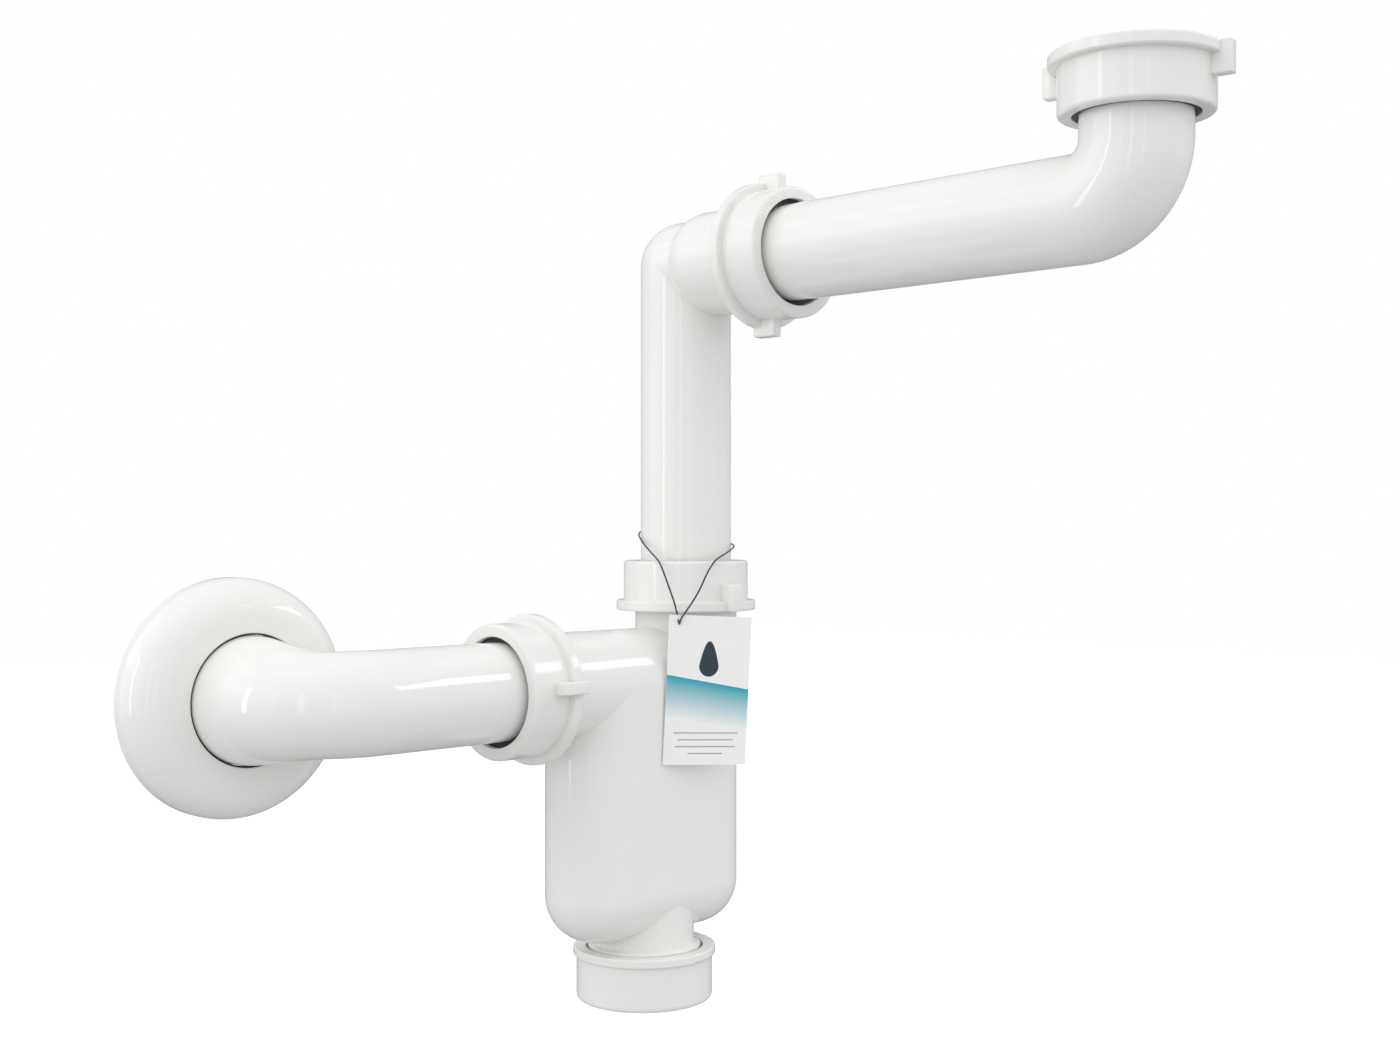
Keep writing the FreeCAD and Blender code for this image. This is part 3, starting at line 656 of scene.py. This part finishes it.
def printedCard(name, look):
    # Coated card with the print worked out from its lower left corner, so the pattern is fixed to the card. Only the
    # front is printed. The back and the cut edges are bare, uncoated fibre, flecked every 0.8 mm.
    material, tree = newMaterial(name)
    place = addNode(tree, "ShaderNodeTexCoord").outputs["Object"]
    flat = addNode(tree, "ShaderNodeMapping", {
        "Vector": place, "Location": look["at"],
        "Rotation": (0, math.radians(look["tilt"]), math.radians(look["turn"]))}, vector_type="TEXTURE")
    local = addNode(tree, "ShaderNodeSeparateXYZ", {0: flat.outputs[0]}).outputs
    made = {"localX": local["X"], "localY": local["Y"], "localZ": local["Z"]}
    edge, rise = look["bandEdge"], look["dropRise"]

    # Each row is a name, an operation and its inputs, which are numbers or the names of rows above it. A ramp goes
    # from its third value to its fourth between its first two.
    rows = [
        ("x", "MULTIPLY_ADD", "localX", 1000.0, look["holeIn"]),
        ("y", "MULTIPLY_ADD", "localZ", 1000.0, look["height"] - look["holeDown"]),
        ("front", "ramp", "localY", *look["front"], 1.0, 0.0),
        ("top", "MULTIPLY_ADD", "x", look["bandFall"], look["bandTop"]),  # the band's edge falls to the right
        ("under", "SUBTRACT", "top", "y"),
        ("bandOn", "ramp", "under", -edge, edge, 0.0, 1.0),
        ("bandFade", "ramp", "under", *look["bandFade"], 1.0, 0.0),
        ("band", "MULTIPLY", "bandOn", "bandFade"),
        ("offMiddle", "SUBTRACT", "x", look["width"] / 2),
        ("dx", "ABSOLUTE", "offMiddle"),
        ("dy", "SUBTRACT", "y", look["dropAt"]),
        ("narrow", "ramp", "dy", 0.0, rise, 1.0, 0.0001),  # above its middle the drop narrows to a point
        ("slim", "SQRT", "narrow"),
        ("spanned", "DIVIDE", "dx", "slim"),
        ("low", "MINIMUM", "dy", 0.0),
        ("spannedSquare", "MULTIPLY", "spanned", "spanned"),
        ("lowSquare", "MULTIPLY", "low", "low"),
        ("farSquare", "ADD", "spannedSquare", "lowSquare"),
        ("far", "SQRT", "farSquare"),
        ("dropRound", "ramp", "far", *look["dropRadius"], 1.0, 0.0),
        ("dropEnd", "ramp", "dy", *look["dropTip"], 1.0, 0.0),
        ("drop", "MULTIPLY", "dropRound", "dropEnd"),
    ]
    for i, (height, half) in enumerate(look["rules"]):
        n = str(i)
        rows += [
            ("above" + n, "SUBTRACT", "y", height),
            ("apart" + n, "ABSOLUTE", "above" + n),
            ("thick" + n, "ramp", "apart" + n, *look["ruleHalf"], 1.0, 0.0),
            ("long" + n, "ramp", "dx", half, half + look["ruleEnd"], 1.0, 0.0),
            ("one" + n, "MULTIPLY", "thick" + n, "long" + n),
            ("rule", "MAXIMUM", "rule" if i else 0.0, "one" + n),
        ]
    rows += [(ink + "Ink", "MULTIPLY", ink, "front") for ink in ("band", "drop", "rule")]
    rows.append(("rough", "ramp", "front", 0.0, 1.0, look["bareRough"], look["coatRough"]))
    for key, how, *values in rows:
        inputs = {i: made[v] if isinstance(v, str) else v for i, v in enumerate(values)}
        if how == "ramp":
            node = addNode(tree, "ShaderNodeMapRange", inputs)
        else:
            node = addNode(tree, "ShaderNodeMath", inputs, operation=how)
        made[key] = node.outputs[0]

    fibre = addNode(tree, "ShaderNodeTexNoise", {"Vector": place, "Scale": look["fibreScale"], "Detail": 3.0})
    mixes = [(fibre.outputs["Fac"], look["paper"])]
    mixes += [(made[ink + "Ink"], look[ink]) for ink in ("band", "drop", "rule")]
    colour = linear(look["fibre"])
    for mask, ink in mixes:
        colour = addNode(tree, "ShaderNodeMix", {0: mask, 6: colour, 7: linear(ink)}, data_type="RGBA").outputs[2]
    bump = addNode(tree, "ShaderNodeBump", {"Height": fibre.outputs["Fac"], "Distance": look["fibreDepth"]})
    skin = addNode(tree, "ShaderNodeBsdfPrincipled", {
        "Base Color": colour, "Roughness": made["rough"], "IOR": look["ior"], "Normal": bump.outputs["Normal"]})
    addNode(tree, "ShaderNodeOutputMaterial", {"Surface": skin.outputs[0]})
    return material


hangTag = nodes["hang_tag"]
hangTag.data.materials.clear()
hangTag.data.materials.append(printedCard("printedCoatedCard", tagLook))
print("hang tag printed")


# Floor well below the part, plain and pale, and a white surround. What the camera sees, what the gloss mirrors and
# what lights the part have strengths of their own.
floorLook = {"height": -0.52, "size": 8.0, "paper": 0.50, "kept": 0.12, "gloss": 0.1}
worldLook = {"seen": 1.0, "gloss": 0.4, "light": 1.12}


def byRay(tree, seen, gloss, light):
    # Strength = light + camera flag * (seen - light) + mirror or glass flag * (gloss - light).
    rays = addNode(tree, "ShaderNodeLightPath").outputs
    mirrored = addNode(tree, "ShaderNodeMath", {
        0: rays["Is Glossy Ray"], 1: rays["Is Transmission Ray"]}, operation="MAXIMUM")
    first = addNode(tree, "ShaderNodeMath", {
        0: rays["Is Camera Ray"], 1: seen - light, 2: light}, operation="MULTIPLY_ADD")
    both = addNode(tree, "ShaderNodeMath", {
        0: mirrored.outputs[0], 1: gloss - light, 2: first.outputs[0]}, operation="MULTIPLY_ADD")
    return both.outputs[0]


def paleFloor(look):
    # Matt white paper: it lights the part from below, and for the camera a share of it still takes the shadow.
    material, tree = newMaterial("matWhitePaper")
    matt = addNode(tree, "ShaderNodeBsdfDiffuse", {"Color": byRay(tree, look["kept"], look["kept"], look["paper"])})
    own = addNode(tree, "ShaderNodeEmission", {"Strength": byRay(tree, worldLook["seen"], look["gloss"], 0.0)})
    both = addNode(tree, "ShaderNodeAddShader", {0: matt.outputs[0], 1: own.outputs[0]})
    addNode(tree, "ShaderNodeOutputMaterial", {"Surface": both.outputs[0]})
    return material


half, level = floorLook["size"] / 2, floorLook["height"]
floorMesh = bpy.data.meshes.new("paleFloor")
floorCorners = [(x * half, y * half, level) for x, y in ((-1, -1), (1, -1), (1, 1), (-1, 1))]
floorMesh.from_pydata(floorCorners, [], [(0, 1, 2, 3)])
floorMesh.materials.append(paleFloor(floorLook))
floorSheet = bpy.data.objects.new("paleFloor", floorMesh)
scene.collection.objects.link(floorSheet)

world = bpy.data.worlds.new("studioWhite")
world.use_nodes = True
sky = world.node_tree
sky.nodes.clear()
glow = addNode(sky, "ShaderNodeBackground", {"Color": (1, 1, 1, 1), "Strength": byRay(sky, **worldLook)})
addNode(sky, "ShaderNodeOutputWorld", {"Surface": glow.outputs[0]})
scene.world = world

# Softboxes, placed from the middle of the part: to the viewer's right, towards the viewer, and up. The mirrored ones
# show in the gloss alone, as the long highlights.
middle = np.array((-0.08, 0.13, -0.18))
viewRight, viewFront = np.array((spin, -spin, 0)), np.array((-spin, -spin, 0))
lampSet = {
    "left": {"place": (-1.5, 0.1, 0.1), "size": (1.0, 1.4), "power": 2.65},
    "leftFront": {"place": (-1.2, 1.0, 0.2), "size": (0.8, 1.2), "power": 1.15},
    "topRight": {"place": (1.1, 0.4, 1.1), "size": (1.0, 1.0), "power": 0.5},
    "topBack": {"place": (0.0, -1.1, 1.1), "size": (1.2, 1.0), "power": 0.16},
    "right": {"place": (1.5, 0.1, 0.1), "size": (1.0, 1.4), "power": 0.5},
    "streak": {"place": (1.36, -0.17, 0.82), "size": (1.1, 0.32), "power": 4.2, "mirrored": True},
    "sheen": {"place": (-1.2, 1.0, 0.2), "size": (0.85, 1.3), "power": 5.0, "mirrored": True},
    "shelf": {"place": (-1.45, 0.03, 0.85), "size": (1.3, 1.1), "power": 2.9, "mirrored": True},
    "stripOne": {"place": (-1.43, 0.73, 0.1), "size": (0.14, 1.3), "power": 1.7, "mirrored": True},
    "stripTwo": {"place": (-0.44, 1.54, 0.1), "size": (0.11, 1.3), "power": 0.7, "mirrored": True},
    "stripThree": {"place": (0.22, 1.58, 0.1), "size": (0.08, 1.3), "power": 0.4, "mirrored": True},
}
for name, look in lampSet.items():
    lamp = bpy.data.lights.new(name + "Softbox", "AREA")
    lamp.shape = "RECTANGLE"
    lamp.size, lamp.size_y = look["size"]
    lamp.energy = look["power"]
    right, front, height = look["place"]
    spot = middle + right * viewRight + front * viewFront + np.array((0, 0, height))
    holder = bpy.data.objects.new(name + "Softbox", lamp)
    holder.location = spot
    holder.rotation_euler = Vector(spot - middle).to_track_quat("Z", "Y").to_euler()
    holder.visible_diffuse = not look.get("mirrored", False)
    scene.collection.objects.link(holder)

scene.view_settings.view_transform = "Standard"
print("floor and lamps set")
